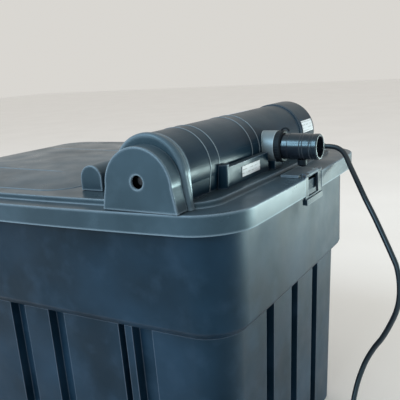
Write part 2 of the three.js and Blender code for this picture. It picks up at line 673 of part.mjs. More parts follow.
function addClarifier() {
  add("uv_housing", uvHousing(), CASE);
  add("uv_end_cap", endCap(), CASE);
  add("end_cap_seal", at(pipe(38.8, 40.7, CAP_Y[0] - 8, CAP_Y[0] - 5, 32), UV_X, 0, UV_Z), RUBBER);
  add("quartz_sleeve", at(turned(sleeveProfile()), UV_X, 0, UV_Z), QUARTZ);
  add("uv_lamp", lampGeometry(), CERAMIC);
  add("lamp_socket", at(rod(18, 108.6, 122, 24), UV_X, 0, UV_Z), CERAMIC);
  add("ballast", box([UV_X - 24, UV_X + 24], [126, 166], [UV_Z - 16, UV_Z + 16]), GRATE);
  add("inlet_spout", at(alongZ(pipe(15.4, 18.2, 290, RIM_Z - 17)), UV_X, SPOUT_Y, 0), GLOSS_BLACK);
  add("end_screw", at(turned(screwProfile(), 16), UV_X, 0, SCREW_Z), STEEL);
  add("rating_label", box([252.3, 252.8], [-95, -47], [RIM_Z + 13, RIM_Z + 25]), LABEL);
  add("end_label", curvedLabel(2, 24, [122, 163]), LABEL);
  add("top_label", curvedLabel(92, 128, [-30, 42]), LABEL);
}

function addInlet() {
  const seal = pipe(TAIL_BORE + 0.5, 18, NECK_END_X + GAP, NECK_END_X + 1.5);
  add("tail_seal", at(alongX(seal), 0, 0, TAIL_Z), RUBBER);
  add("inlet_tail", inletTail(), GLOSS_BLACK);
  add("inlet_nut", inletNut(), GLOSS_BLACK);
  const plug = turned([[0, 409.8], [3.5, 409.8], [6, 412], [6, 418.4], [0, 418.4]], 20);
  add("bleed_plug", at(alongZ(plug), 289, 0, 0), GLOSS_BLACK);
}

function addLead() {
  const gland = turned([[0, -9], [8.5, -9], [8.5, 7], [7, 9], [7, 11], [0, 11]], 12);
  const seat = at(rod(UV_R + 2 * GAP, 100, 150, 36), UV_X, 0, UV_Z);
  add("cable_gland", cut(at(alongX(gland), GLAND.x, GLAND.y, GLAND.z), seat), GLOSS_BLACK);
  const relief = turned([[0, 11.3], [6.2, 11.3], [5.6, 18], [4.4, 31.5], [0, 31.5]], 16);
  add("strain_relief", at(alongX(relief), GLAND.x, GLAND.y, GLAND.z), RUBBER);
  add("cable", tubeAlong(ROUTE, LEAD_R, 56, 8), RUBBER);
  add("cable_coil", coilGeometry(), RUBBER);
  add("coil_tie", coilTie(), RUBBER);
  const plug = add("mains_plug", plugGeometry(), RUBBER);
  plug.rotation.z = Math.PI / 2;
  plug.position.set(PLUG.x, PLUG.y, PLUG.z);
}

addTank();
addFittings();
addLid();
addClarifier();
addInlet();
addLead();

export default model;
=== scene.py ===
import json
import math

import bmesh
import bpy
import numpy as np
from mathutils import Matrix, Vector


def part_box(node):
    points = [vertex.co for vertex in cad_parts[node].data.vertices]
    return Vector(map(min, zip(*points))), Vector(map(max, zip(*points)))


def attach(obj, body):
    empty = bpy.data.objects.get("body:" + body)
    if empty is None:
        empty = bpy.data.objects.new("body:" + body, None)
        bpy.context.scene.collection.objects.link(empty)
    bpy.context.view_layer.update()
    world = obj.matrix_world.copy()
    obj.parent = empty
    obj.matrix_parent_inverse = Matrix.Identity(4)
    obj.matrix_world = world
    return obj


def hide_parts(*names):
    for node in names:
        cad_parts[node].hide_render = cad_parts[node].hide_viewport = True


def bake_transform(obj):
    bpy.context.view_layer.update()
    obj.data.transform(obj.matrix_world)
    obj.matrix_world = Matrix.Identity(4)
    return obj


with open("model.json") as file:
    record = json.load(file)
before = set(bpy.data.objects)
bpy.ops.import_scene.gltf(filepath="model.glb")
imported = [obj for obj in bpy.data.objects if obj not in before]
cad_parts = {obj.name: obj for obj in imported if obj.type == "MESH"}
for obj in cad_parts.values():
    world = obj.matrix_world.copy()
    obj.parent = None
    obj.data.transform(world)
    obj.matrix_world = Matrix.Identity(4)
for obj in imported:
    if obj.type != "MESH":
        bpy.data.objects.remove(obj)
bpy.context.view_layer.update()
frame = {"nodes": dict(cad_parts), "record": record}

MM = 0.001


def mm_box(node):
    """A CAD node's lowest and highest corners, in millimetres."""
    low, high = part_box(node)
    return low / MM, high / MM


# ---- Sizes, in millimetres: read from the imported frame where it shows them, else as in the CAD ----
GAP = 0.3  # between pieces that touch
SIDE_BOW, FRONT_BOW = 3.7, 16.0  # how far the middle of a short and a long side stands out
SKIRT, WALL, CORNER_R = 22.0, 3.5, 55.0
LID_LOW, LID_HIGH = mm_box("lid")
HALF_X = LID_HIGH.x - SIDE_BOW + 0.1  # the latch notch cuts away the tip of the bow
HALF_Y = LID_HIGH.y - FRONT_BOW
RIM_Z = LID_LOW.z + SKIRT
DECK_Z = RIM_Z + 6.5
DECK_INSET_X, DECK_INSET_Y, DECK_R = 36.0, 21.0, 36.0
CROWN = 10.0  # rise of the raised panel above the deck
CROWN_CENTRE, CROWN_HALF, CROWN_R = (-96, -8), (166, 186), 40  # the panel's plan
LATCH_HALF, NOTCH_X = 28.0, 297.4  # the skirt is cut away beyond NOTCH_X for each latch
COLLAR_INSET, COLLAR_Z = 16.8, RIM_Z - 135  # the tank's collar: in from the lid's edge, and its lower end
CHAMFER, DRAFT, GROOVE_DEPTH = 11.5, 9.5, 12.0
LOWER_INSET, LOWER_Z = COLLAR_INSET + CHAMFER, COLLAR_Z - CHAMFER
FLANGE_INSET, FLANGE_Z = 5.5, (RIM_Z - 20, RIM_Z - 7)
LONG_GROOVES = ((-164, 28), (-135, 9), (-33.5, 26), (33.5, 26), (135, 9), (164, 28))  # (centre, width)
SHORT_GROOVES = ((-79.6, 23), (0, 23), (79.6, 23))

CAP_LOW, CAP_HIGH = mm_box("uv_end_cap")
UV_X = (CAP_LOW.x + CAP_HIGH.x) / 2
UV_R = (CAP_HIGH.x - CAP_LOW.x) / 2
UV_Z = CAP_HIGH.z - UV_R
HOUSING_LOW, HOUSING_HIGH = mm_box("uv_housing")
DOME_R = UV_R - 1.6
DOME_HALF, ARCH_HALF = 39.0, 50.0  # half the width at the deck, of the dome and of the arch before it
RING_Y, RING_RISE = (-151, -131, -47, -26), 0.6  # the hoops on the dome
TAIL_LOW, TAIL_HIGH = mm_box("inlet_tail")
TAIL_Z = (TAIL_LOW.z + TAIL_HIGH.z) / 2
TAIL_R, TAIL_BORE = 16.0, 13.0
NECK_END, NECK_R = HOUSING_HIGH.x, 19.8
SPOUT_LOW, SPOUT_HIGH = mm_box("inlet_spout")
SPOUT_Y = (SPOUT_LOW.y + SPOUT_HIGH.y) / 2
SPOUT_R, SPOUT_BORE = 15.0, 12.5  # the housing's stub over the spout
SMOOTH_BELOW = math.radians(38)  # edges that bend less than this are shaded smooth


# ---- Camera ----
def make_camera():
    """The camera at the photograph's place, angle and roll."""
    azimuth, pitch, roll = (math.radians(a) for a in (30.76, 12.73, 3.67))
    flat = math.cos(pitch)
    ahead = Vector((-math.sin(azimuth) * flat, math.cos(azimuth) * flat, -math.sin(pitch)))
    level = Vector((math.cos(azimuth), math.sin(azimuth), 0))
    down = ahead.cross(level)
    right = math.cos(roll) * level + math.sin(roll) * down
    up = math.sin(roll) * level - math.cos(roll) * down
    stands_at = (0.551, -0.6944, 0.5414)
    data = bpy.data.cameras.new("camera")
    data.sensor_width = 36
    data.lens = 53.6
    data.shift_y = -0.0025
    camera = bpy.data.objects.new("camera", data)
    turn = Matrix((right, up, -ahead)).transposed().to_4x4()
    camera.matrix_world = Matrix.Translation(stands_at) @ turn
    bpy.context.scene.collection.objects.link(camera)
    bpy.context.scene.camera = camera


# ---- Node materials ----
class Nodes:
    """A material's node tree, with short calls for the nodes that every finish here uses."""

    def __init__(self, name):
        self.material = bpy.data.materials.new(name)
        self.material.use_nodes = True
        self.tree = self.material.node_tree
        self.shader = self.tree.nodes["Principled BSDF"]
        self.place = self.tree.nodes.new("ShaderNodeTexCoord").outputs["Object"]

    def link(self, a, b):
        self.tree.links.new(a, b)

    def noise(self, scale, detail=4.0, stretch=(1, 1, 1)):
        """Soft random patches. A larger scale makes them smaller."""
        node = self.tree.nodes.new("ShaderNodeTexNoise")
        node.inputs["Scale"].default_value = scale
        node.inputs["Detail"].default_value = detail
        mapping = self.tree.nodes.new("ShaderNodeMapping")
        mapping.inputs["Scale"].default_value = stretch
        self.link(self.place, mapping.inputs["Vector"])
        self.link(mapping.outputs["Vector"], node.inputs["Vector"])
        return node.outputs["Fac"]

    def ramp(self, value, stops):
        """A colour between two (position, colour) stops."""
        node = self.tree.nodes.new("ShaderNodeValToRGB")
        elements = node.color_ramp.elements
        for element, (position, color) in zip(elements, stops):
            element.position = position
            element.color = (*color, 1)
        self.link(value, node.inputs["Fac"])
        return node.outputs["Color"]

    def remap(self, value, low, high, start=0.3, end=0.7):
        """From low to high as value goes from start to end."""
        node = self.tree.nodes.new("ShaderNodeMapRange")
        for socket, number in (("From Min", start), ("From Max", end), ("To Min", low), ("To Max", high)):
            node.inputs[socket].default_value = number
        self.link(value, node.inputs["Value"])
        return node.outputs["Result"]

    def mix(self, share, a, b):
        """Colour a, with the given share of colour b over it."""
        node = self.tree.nodes.new("ShaderNodeMix")
        node.data_type = "RGBA"
        self.link(share, node.inputs[0])
        for socket, value in ((node.inputs[6], a), (node.inputs[7], b)):
            if isinstance(value, tuple):
                socket.default_value = (*value, 1)
            else:
                self.link(value, socket)
        return node.outputs[2]

    def bump(self, height, strength, distance):
        """Fine relief, too small for the mesh."""
        node = self.tree.nodes.new("ShaderNodeBump")
        node.inputs["Strength"].default_value = strength
        node.inputs["Distance"].default_value = distance
        self.link(height, node.inputs["Height"])
        self.link(node.outputs["Normal"], self.shader.inputs["Normal"])

    def edge_wear_and_highlight(self, reach):
        """1 along an edge, where a rounded normal leaves the surface's own, and 0 on the open surface. It
        places pale edge colour that is partly wear and partly a painted highlight.
        """
        rounded = self.tree.nodes.new("ShaderNodeBevel")
        rounded.inputs["Radius"].default_value = reach
        own = self.tree.nodes.new("ShaderNodeNewGeometry")
        agree = self.tree.nodes.new("ShaderNodeVectorMath")
        agree.operation = "DOT_PRODUCT"
        self.link(rounded.outputs["Normal"], agree.inputs[0])
        self.link(own.outputs["Normal"], agree.inputs[1])
        return self.remap(agree.outputs["Value"], 1, 0, 0.95, 0.9992)

    def facing_up(self, most):
        """From 0 on a wall to most on a level surface, where settled dust and a painted top light make it
        paler.
        """
        own = self.tree.nodes.new("ShaderNodeNewGeometry")
        parts = self.tree.nodes.new("ShaderNodeSeparateXYZ")
        self.link(own.outputs["Normal"], parts.inputs[0])
        return self.remap(parts.outputs["Z"], 0, most, 0.45, 1)


def moulded(name, color, roughness, spread=0.2, dust=0.2, grain=0.08, wear_and_highlight=0.1, specular=0.5,
            reach=0.0018, dust_and_top_light=0.0):
    """Injection-moulded plastic: cloudy colour, fine grain, pale edges that are part wear and part painted
    highlight, and level faces made paler by settled dust and a painted top light.

    color varies by the share spread. reach is how far, in metres, the pale edge line of wear and painted
    highlight runs from an edge.
    dust, wear_and_highlight and dust_and_top_light are the most that each one covers.
    """
    n = Nodes(name)
    n.shader.inputs["Specular IOR Level"].default_value = specular
    n.shader.inputs["Specular Tint"].default_value = (0.5, 0.82, 1, 1)
    dark = tuple(c * (1 - spread) for c in color)
    light = tuple(c * (1 + spread) + 0.004 for c in color)
    cloudy = n.ramp(n.noise(9), ((0.35, dark), (0.68, light)))
    pale = tuple(c * 1.7 + 0.012 for c in color)
    # Pale edge colour: rubbed wear with a painted highlight along each edge.
    rubbed_and_lit = tuple(c * 3 + 0.09 for c in color)
    dusty = n.mix(n.remap(n.noise(38, 8), 0, dust, 0.52, 0.78), cloudy, pale)
    # Level faces made paler: settled dust and a painted top light.
    top_lit = n.mix(n.facing_up(dust_and_top_light), dusty, (0.34, 0.42, 0.44))
    edged = n.mix(n.remap(n.edge_wear_and_highlight(reach), 0, wear_and_highlight, 0, 1), top_lit, rubbed_and_lit)
    n.link(edged, n.shader.inputs["Base Color"])
    n.link(n.remap(n.noise(22, 6), roughness - 0.07, roughness + 0.09), n.shader.inputs["Roughness"])
    n.bump(n.noise(1500, 2), grain, 0.0003)
    return n.material


def drawn_metal(name, color, roughness):
    """Plain metal with drawing marks that run across its length."""
    n = Nodes(name)
    n.shader.inputs["Metallic"].default_value = 1
    darker = tuple(c * 0.8 for c in color)
    tone = n.ramp(n.noise(60, stretch=(1, 1, 12)), ((0.3, darker), (0.7, color)))
    n.link(tone, n.shader.inputs["Base Color"])
    marks = n.noise(120, stretch=(1, 1, 20))
    n.link(n.remap(marks, roughness - 0.08, roughness + 0.1), n.shader.inputs["Roughness"])
    return n.material


def printed_film(name):
    """A pale label with faint grey rows that stand for small print."""
    n = Nodes(name)
    rows = n.tree.nodes.new("ShaderNodeTexWave")
    rows.wave_type = "BANDS"
    rows.bands_direction = "Z"
    rows.inputs["Scale"].default_value = 75
    n.link(n.place, rows.inputs["Vector"])
    lines = n.remap(rows.outputs["Fac"], 0, 0.55, 0.72, 0.86)
    broken = n.tree.nodes.new("ShaderNodeMath")
    broken.operation = "MULTIPLY"
    n.link(lines, broken.inputs[0])
    n.link(n.remap(n.noise(260, 1), 0, 1, 0.42, 0.5), broken.inputs[1])
    film, ink = (0.56, 0.6, 0.66), (0.12, 0.13, 0.15)
    n.link(n.mix(broken.outputs[0], film, ink), n.shader.inputs["Base Color"])
    n.shader.inputs["Specular IOR Level"].default_value = 0.25
    n.link(n.remap(n.noise(30), 0.45, 0.6), n.shader.inputs["Roughness"])
    return n.material


def open_cell_foam(name, color):
    """Reticulated filter foam, with painted shade darkening its cells."""
    n = Nodes(name)
    cells = n.tree.nodes.new("ShaderNodeTexVoronoi")
    cells.inputs["Scale"].default_value = 420
    n.link(n.place, cells.inputs["Vector"])
    # Painted shade: the foam colour darkens to a quarter inside each cell.
    tone = n.ramp(cells.outputs["Distance"], ((0.05, tuple(c * 0.25 for c in color)), (0.5, color)))
    n.link(tone, n.shader.inputs["Base Color"])
    n.shader.inputs["Roughness"].default_value = 0.95
    n.bump(cells.outputs["Distance"], 0.9, 0.002)
    return n.material


def clear_quartz(name):
    """Clear glass with faint smears."""
    n = Nodes(name)
    n.shader.inputs["Transmission Weight"].default_value = 0.95
    n.shader.inputs["IOR"].default_value = 1.46
    tone = n.ramp(n.noise(12), ((0.4, (0.88, 0.93, 0.95)), (0.7, (0.96, 0.98, 1))))
    n.link(tone, n.shader.inputs["Base Color"])
    n.link(n.remap(n.noise(40), 0.02, 0.09), n.shader.inputs["Roughness"])
    return n.material


# Each moulded finish's colour, roughness and whatever differs from moulded()'s usual values.
PLASTICS = {
    "case_plastic": dict(color=(0.023, 0.046, 0.066), roughness=0.32, spread=0.25, dust=0.3, grain=0.1,
                         wear_and_highlight=1, specular=0.32, reach=0.0036, dust_and_top_light=0.03),
    "tank_plastic": dict(color=(0.002, 0.014, 0.031), roughness=0.45, spread=0.4, dust=0.5, grain=0.12,
                         wear_and_highlight=0.7, specular=0.22),
    # A darker copy of the lid plastic: painted shade on the dome, the end cap, the rail and the neck's
    # foot.
    "dome_shaded_plastic": dict(color=(0.001, 0.014, 0.03), roughness=0.34, dust=0.15, wear_and_highlight=0.9, specular=0.13,
                         dust_and_top_light=0.1),
    # A darker copy of the lid plastic with a wide pale edge line: painted shade on the bead's face and a
    # painted highlight along its edge.
    "bead_shade_and_highlight": dict(color=(0.018, 0.04, 0.058), roughness=0.34, wear_and_highlight=1, specular=0.3, reach=0.006),
    # A pale plastic for the dome's hoops: painted highlight along the raised rings.
    "ring_highlight_plastic": dict(color=(0.09, 0.12, 0.145), roughness=0.3, wear_and_highlight=0.2),
    "latch_plastic": dict(color=(0.005, 0.018, 0.032), roughness=0.32, wear_and_highlight=0.8, specular=0.3),
    # A paler copy of the lid plastic for the inlet neck: painted light where light falls on it.
    "neck_lit_plastic": dict(color=(0.11, 0.145, 0.165), roughness=0.4, wear_and_highlight=0.6, specular=1),
    "tail_plastic": dict(color=(0.004, 0.006, 0.011), roughness=0.28, dust=0.12, grain=0.05, wear_and_highlight=0.15,
                         specular=0.7),
    "matte_black": dict(color=(0.003, 0.006, 0.01), roughness=0.5, dust=0.1, specular=0.15),
    "gloss_black": dict(color=(0.006, 0.009, 0.013), roughness=0.19, spread=0.12, dust=0.12, grain=0.05,
                        specular=0.6),
    "rubber": dict(color=(0.006, 0.008, 0.012), roughness=0.42, spread=0.12, dust=0.15, grain=0.2),
    "grate": dict(color=(0.02, 0.026, 0.032), roughness=0.55, spread=0.12, dust=0.35, grain=0.12, wear_and_highlight=0.5),
    "ceramic": dict(color=(0.7, 0.68, 0.62), roughness=0.45, spread=0.05, dust=0.1, grain=0.12),
}


def make_finishes():
    """Every finish by name. Most are named after the material slot that they show."""
    finishes = {name: moulded(name, **look) for name, look in PLASTICS.items()}
    finishes["label"] = printed_film("label")
    finishes["foam_coarse"] = open_cell_foam("foam_coarse", (0.03, 0.12, 0.3))
    finishes["foam_fine"] = open_cell_foam("foam_fine", (0.66, 0.58, 0.36))
    finishes["quartz"] = clear_quartz("quartz")
    finishes["steel"] = drawn_metal("steel", (0.55, 0.57, 0.59), 0.32)
    # Darkened steel: painted shade for the screw down in its hole and for the latch pins.
    finishes["shaded_steel"] = drawn_metal("shaded_steel", (0.07, 0.08, 0.09), 0.5)
    return finishes


# ---- Mesh work: a form is (points in millimetres, faces) ----
def link_mesh(name, form):
    """A scene object made from a form."""
    points, faces = form
    mesh = bpy.data.meshes.new(name)
    mesh.from_pydata([tuple(c * MM for c in p) for p in points], [], faces)
    mesh.validate()
    obj = bpy.data.objects.new(name, mesh)
    bpy.context.scene.collection.objects.link(obj)
    face_out(obj)
    return obj


def face_out(obj):
    """Merges the points that coincide and turns every face outwards."""
    work = bmesh.new()
    work.from_mesh(obj.data)
    bmesh.ops.remove_doubles(work, verts=work.verts, dist=1e-6)
    bmesh.ops.recalc_face_normals(work, faces=work.faces)
    work.to_mesh(obj.data)
    work.free()


def bake_modifiers(obj):
    """Turns what the modifiers show into the mesh itself."""
    bpy.context.view_layer.update()
    shown = obj.evaluated_get(bpy.context.evaluated_depsgraph_get())
    mesh = bpy.data.meshes.new_from_object(shown)
    obj.modifiers.clear()
    obj.data = mesh


def apply_tool(obj, tool, operation):
    """Joins the tool object to obj or cuts it from it, and removes the tool."""
    step = obj.modifiers.new("step", "BOOLEAN")
    step.operation = operation
    step.solver = "EXACT"
    step.object = tool
    bake_modifiers(obj)
    bpy.data.objects.remove(tool)


def combine(obj, forms, operation):
    """Joins forms to obj or cuts them from it, one after another."""
    for form in forms:
        apply_tool(obj, link_mesh("tool", form), operation)


def soften(obj, width, segments=2, angle=32):
    """Rounds the edges by width millimetres, and shades what is left smooth."""
    edge = obj.modifiers.new("edge", "BEVEL")
    edge.width = width * MM
    edge.segments = segments
    edge.limit_method = "ANGLE"
    edge.angle_limit = math.radians(angle)
    edge.miter_outer = "MITER_ARC"
    bake_modifiers(obj)
    obj.data.shade_smooth()
    obj.data.set_sharp_from_angle(angle=SMOOTH_BELOW)
    weigh = obj.modifiers.new("weigh", "WEIGHTED_NORMAL")
    weigh.keep_sharp = True


def place(obj, body, slot, *stands_for, finish=None):
    """Gives a piece its finish, its body and the CAD nodes that it stands for."""
    obj.data.materials.clear()
    obj.data.materials.append(FINISH[finish or slot])
    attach(obj, body)
    if stands_for:
        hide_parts(*stands_for)
    return obj


def moved(form, matrix):
    """A form put through a matrix."""
    points, faces = form
    return [tuple(matrix @ Vector(p)) for p in points], faces


def at(form, x, y, z):
    """A form carried along by x, y and z millimetres."""
    return moved(form, Matrix.Translation((x, y, z)))


def along_x(form):
    """Lays a form that stands along +Y down along +X."""
    return moved(form, Matrix.Rotation(-math.pi / 2, 4, "Z"))


def along_z(form):
    """Stands a form that lies along +Y up along +Z."""
    return moved(form, Matrix.Rotation(math.pi / 2, 4, "X"))


def loft(rings):
    """A skin over rings of equal length, capped at both ends."""
    count = len(rings[0])
    points = [p for ring in rings for p in ring]
    faces = [tuple(reversed(range(count))), tuple(range(len(points) - count, len(points)))]
    for k in range(len(rings) - 1):
        for i in range(count):
            a, b = k * count + i, k * count + (i + 1) % count
            faces.append((a, b, b + count, a + count))
    return points, faces


def turned(profile, segments=96):
    """Revolves (radius, height) points about +Y. The profile closes on itself or on the axis."""
    if profile[0] == profile[-1]:
        profile = profile[:-1]
    count = len(profile)
    points = []
    for i in range(segments):
        a = 2 * math.pi * i / segments
        points += [(r * math.cos(a), h, r * math.sin(a)) for r, h in profile]
    faces = []
    for i in range(segments):
        here, there = i * count, (i + 1) % segments * count
        for k in range(count):
            n = (k + 1) % count
            if profile[k][0] == 0 and profile[n][0] == 0:
                continue
            corners = [here + k, here + n, there + n, there + k]
            if profile[k][0] == 0:
                corners.pop(3)
            elif profile[n][0] == 0:
                corners.pop(2)
            faces.append(tuple(corners))
    return points, faces


def rod(radius, low, high, segments=96):
    """A solid cylinder along +Y."""
    return turned([(0, low), (radius, low), (radius, high), (0, high)], segments)


def block(x, y, z):
    """A box between two values on each axis."""
    return loft([[(x[0], y[0], h), (x[1], y[0], h), (x[1], y[1], h), (x[0], y[1], h)] for h in z])


def slab(shape, y):
    """A flat (x, z) outline given thickness along Y."""
    return loft([[(x, h, z) for x, z in shape] for h in y])


def arch(x, half, base, centre_z, radius, steps=48):
    """A round-topped doorway outline in (x, z)."""
    turn = [math.pi * i / steps for i in range(steps + 1)]
    top = [(x + radius * math.cos(a), centre_z + radius * math.sin(a)) for a in turn]
    return [(x - half, base), (x + half, base), *top]


def sweep(path, radius, sides=12):
    """A round tube along closely spaced points, with its frame carried along the path."""
    path = [Vector(p) for p in path]
    up = Vector((0, 0, 1))
    rings = []
    for i, p in enumerate(path):
        ahead = (path[min(i + 1, len(path) - 1)] - path[max(i - 1, 0)]).normalized()
        up = (up - ahead * up.dot(ahead)).normalized()
        across = ahead.cross(up)
        turn = [2 * math.pi * k / sides for k in range(sides)]
        rings.append([tuple(p + radius * (math.cos(a) * up + math.sin(a) * across)) for a in turn])
    return loft(rings)


# ---- The mains lead ----
# The route in metres, as the CAD lays it, from the strain relief down to the coil.
ROUTE = (
    (0.2771, 0.125, 0.416), (0.2835, 0.125, 0.416), (0.2926, 0.1235, 0.415), (0.3014, 0.1193, 0.4119),
    (0.309, 0.112, 0.4072), (0.3228, 0.0915, 0.3937), (0.337, 0.0715, 0.3793), (0.352, 0.055, 0.36),
    (0.368, 0.042, 0.338), (0.383, 0.032, 0.3135), (0.393, 0.025, 0.297), (0.4004, 0.02, 0.283),
    (0.4045, 0.016, 0.263), (0.4045, 0.014, 0.244), (0.4006, 0.016, 0.2265), (0.392, 0.022, 0.205),
    (0.381, 0.028, 0.1825), (0.369, 0.033, 0.163), (0.358, 0.034, 0.141), (0.35, 0.027, 0.115),
    (0.347, 0.012, 0.088), (0.35, -0.01, 0.062), (0.356, -0.038, 0.038), (0.363, -0.066, 0.02),
    (0.371, -0.094, 0.0088), (0.378, -0.12, 0.0059), (0.383, -0.142, 0.0052), (0.3847, -0.1619, 0.0051),
)
LEAD_D = 0.007
COIL_LOW, COIL_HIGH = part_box("cable_coil")
PLUG_LOW, PLUG_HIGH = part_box("mains_plug")
COLUMNS, LAYERS = 4, 4


def spline(points, per_span=8):
    """A centripetal Catmull-Rom line through the points, as the CAD's curve is."""
    points = [np.array(p, float) for p in points]
    ends = [2 * points[0] - points[1], *points, 2 * points[-1] - points[-2]]
    line = []
    for a, b, c, d in zip(ends, ends[1:], ends[2:], ends[3:]):
        t0, t1 = 0.0, np.linalg.norm(b - a) ** 0.5
        t2 = t1 + np.linalg.norm(c - b) ** 0.5
        t3 = t2 + np.linalg.norm(d - c) ** 0.5
        for i in range(per_span):
            t = t1 + (t2 - t1) * i / per_span
            ab = ((t1 - t) * a + (t - t0) * b) / (t1 - t0)
            bc = ((t2 - t) * b + (t - t1) * c) / (t2 - t1)
            cd = ((t3 - t) * c + (t - t2) * d) / (t3 - t2)
            abc = ((t2 - t) * ab + (t - t0) * bc) / (t2 - t0)
            bcd = ((t3 - t) * bc + (t - t1) * cd) / (t3 - t1)
            line.append(((t2 - t) * abc + (t - t1) * bcd) / (t2 - t1))
    return [*line, points[-1]]


def ease(t):
    """A smooth step from 0 to 1."""
    t = min(max(t, 0.0), 1.0)
    return t * t * (3 - 2 * t)


def coil_turns(per_turn=36):
    """Turns side by side in layers. A turn steps sideways in its last sixth, a layer rises in its first."""
    centre = (COIL_LOW + COIL_HIGH) / 2
    outer = (COIL_HIGH.x - COIL_LOW.x) / 2 - LEAD_D / 2 - 0.0002
    pitch = 0.0072
    rise = (COIL_HIGH.z - COIL_LOW.z - LEAD_D) / (LAYERS - 1)
    line = []
    for layer in range(LAYERS):
        for turn in range(COLUMNS):
            column = turn if layer % 2 == 0 else COLUMNS - 1 - turn
            last = turn == COLUMNS - 1
            step = 0 if last else (1 if layer % 2 == 0 else -1)
            for i in range(per_turn):
                t = i / per_turn
                radius = outer - pitch * (column + step * ease((t - 5 / 6) * 6))
                height = COIL_LOW.z + LEAD_D / 2 + rise * layer
                if layer and turn == 0:
                    height -= rise * (1 - ease(t * 6))
                a = -2 * math.pi * t
                line.append((centre.x + radius * math.cos(a), centre.y + radius * math.sin(a), height))
    return line


def plug_run():
    """From the top of the coil down and round to the plug that lies beside it."""
    centre = (COIL_LOW + COIL_HIGH) / 2
    entry = Vector((PLUG_HIGH.x, (PLUG_LOW.y + PLUG_HIGH.y) / 2, (PLUG_LOW.z + PLUG_HIGH.z) / 2))
    edge, top = COIL_HIGH.x - LEAD_D / 2, COIL_HIGH.z - LEAD_D / 2
    radius = 0.03
    corner = entry.y + radius
    run = [(edge, centre.y, top)]
    run += [(edge, centre.y - 0.015, top - 0.002), (edge, centre.y - 0.031, top - 0.006)]
    for i in range(1, 6):
        a = math.pi / 2 * i / 5
        x, y = edge - radius * (1 - math.cos(a)), corner - radius * math.sin(a)
        run.append((x, y, top - 0.006 - 0.004 * ease(i / 5)))
    run.append((entry.x + 0.008, entry.y, entry.z - 0.001))
    run.append((entry.x + 0.0004, entry.y, entry.z))
    return run


def make_lead():
    """The mains lead in one piece, from the strain relief through its coil to the plug."""
    line = [*spline(ROUTE), *coil_turns()[1:], *spline(plug_run(), 6)]
    path = [tuple(float(c) for c in p) for p in line]
    lead = link_mesh("mains_lead", sweep([Vector(p) / MM for p in path], LEAD_D / 2 / MM, 14))
    lead.data.shade_smooth()
    lead.data.materials.append(FINISH["rubber"])
    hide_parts("cable", "cable_coil")
    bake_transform(lead)
    plug = make_plug()


def make_plug():
    """A generic round-bodied plug with a ribbed grip, lying on its side."""
    grip = [(0, 0), (4.5, 0), (4.8, 3)]
    for i in range(4):
        h = 3 + 3.4 * i
        grip += [(5.4 + 0.2 * i, h + 0.6), (5.4 + 0.2 * i, h + 2.2), (4.8 + 0.2 * i, h + 2.8)]
    body = [(8.8, 20), (12, 22), (17.6, 26), (18.4, 30), (18.4, 45), (17.2, 49), (16, 50), (0, 50)]
    form = turned([*grip, *body], 64)
    plug = link_mesh("plug", along_minus_x(form))
    combine(plug, [along_minus_x(at(rod(2.4, 49, 67.6, 32), 0, 0, dz)) for dz in (-9.5, 9.5)], "UNION")
    soften(plug, 0.5)
    return place(plug, "tank", "rubber", "mains_plug")


def along_minus_x(form):
    """Points a form that stands along +Y the way that the plug points."""
    centre = (PLUG_LOW + PLUG_HIGH) / 2 / MM
    turn = Matrix.Rotation(math.pi / 2, 4, "Z")
    return moved(form, Matrix.Translation((PLUG_HIGH.x / MM, centre.y, centre.z)) @ turn)


def make_strain_relief():
    """A tapering rubber sleeve with ribs, where the lead leaves the gland."""
    low, high = mm_box("strain_relief")
    y, z = (low.y + high.y) / 2, (low.z + high.z) / 2
    profile = [(0, 0), (6.1, 0), (6.1, 2)]
    ribs = 5
    for i in range(ribs):
        h, r = 2 + 3.2 * i, 6 - 0.32 * i
        profile += [(r - 0.9, h + 0.6), (r - 0.9, h + 1.6), (r, h + 2.2), (r, h + 3)]
    profile += [(4.3, 18.8), (4.2, high.x - low.x), (0, high.x - low.x)]
    relief = link_mesh("relief", at(along_x(turned(profile, 48)), low.x, y, z))
    soften(relief, 0.25)
    place(relief, "lid", "rubber", "strain_relief")


# ---- Outlines of the tank and the lid ----
def even(half, count):
    """A plain side, as (along, depth) points at even steps."""
    return [(-half + 2 * half * i / (count - 1), 0) for i in range(count)]


def grooved(grooves, depth, grow=0.0):
    """A side with grooves, as (along, depth) points. grow widens each groove at both edges."""
    slope = 1.5
    side = []
    for centre, width in grooves:
        half = width / 2 + grow
        side += [(centre - half, 0), (centre - half + slope, depth)]
        side += [(centre + half - slope, depth), (centre + half, 0)]
    return side


def outline(inset_x, inset_y, radius, z, long_side, short_side, bow=(SIDE_BOW, FRONT_BOW), arc=18):
    """A rounded rectangle with bowed sides at height z, set in from the lid's plan."""
    hx, hy = HALF_X - inset_x, HALF_Y - inset_y
    ring = []
    for side in range(4):
        reach, across = (hx, hy) if side % 2 else (hy, hx)
        flat = [(s, depth - reach) for s, depth in (short_side if side % 2 else long_side)]
        for i in range(arc + 1):
            a = -math.pi / 2 + i * math.pi / 2 / arc
            flat.append((across - radius + radius * math.cos(a), radius - reach + radius * math.sin(a)))
        c, s = round(math.cos(side * math.pi / 2)), round(math.sin(side * math.pi / 2))
        ring += [(c * x - s * y, s * x + c * y) for x, y in flat]
    bent = []
    for x, y in ring:
        u, v = x / HALF_X, y / HALF_Y
        bent.append((x + u * bow[0] * (1 - v * v), y + v * bow[1] * (1 - u * u), z))
    return bent


def tank_ring(inset, z, depth=0.0, grow=0.0):
    """An outline of the tank's wall, with its grooves at the given depth. Its corners tighten inwards."""
    radius = max(CORNER_R - 7.5 - (inset - COLLAR_INSET) * 0.6, 20)
    sides = grooved(LONG_GROOVES, depth, grow), grooved(SHORT_GROOVES, depth, grow)
    return outline(inset, inset, radius, z, *sides, bow=(3, 2))


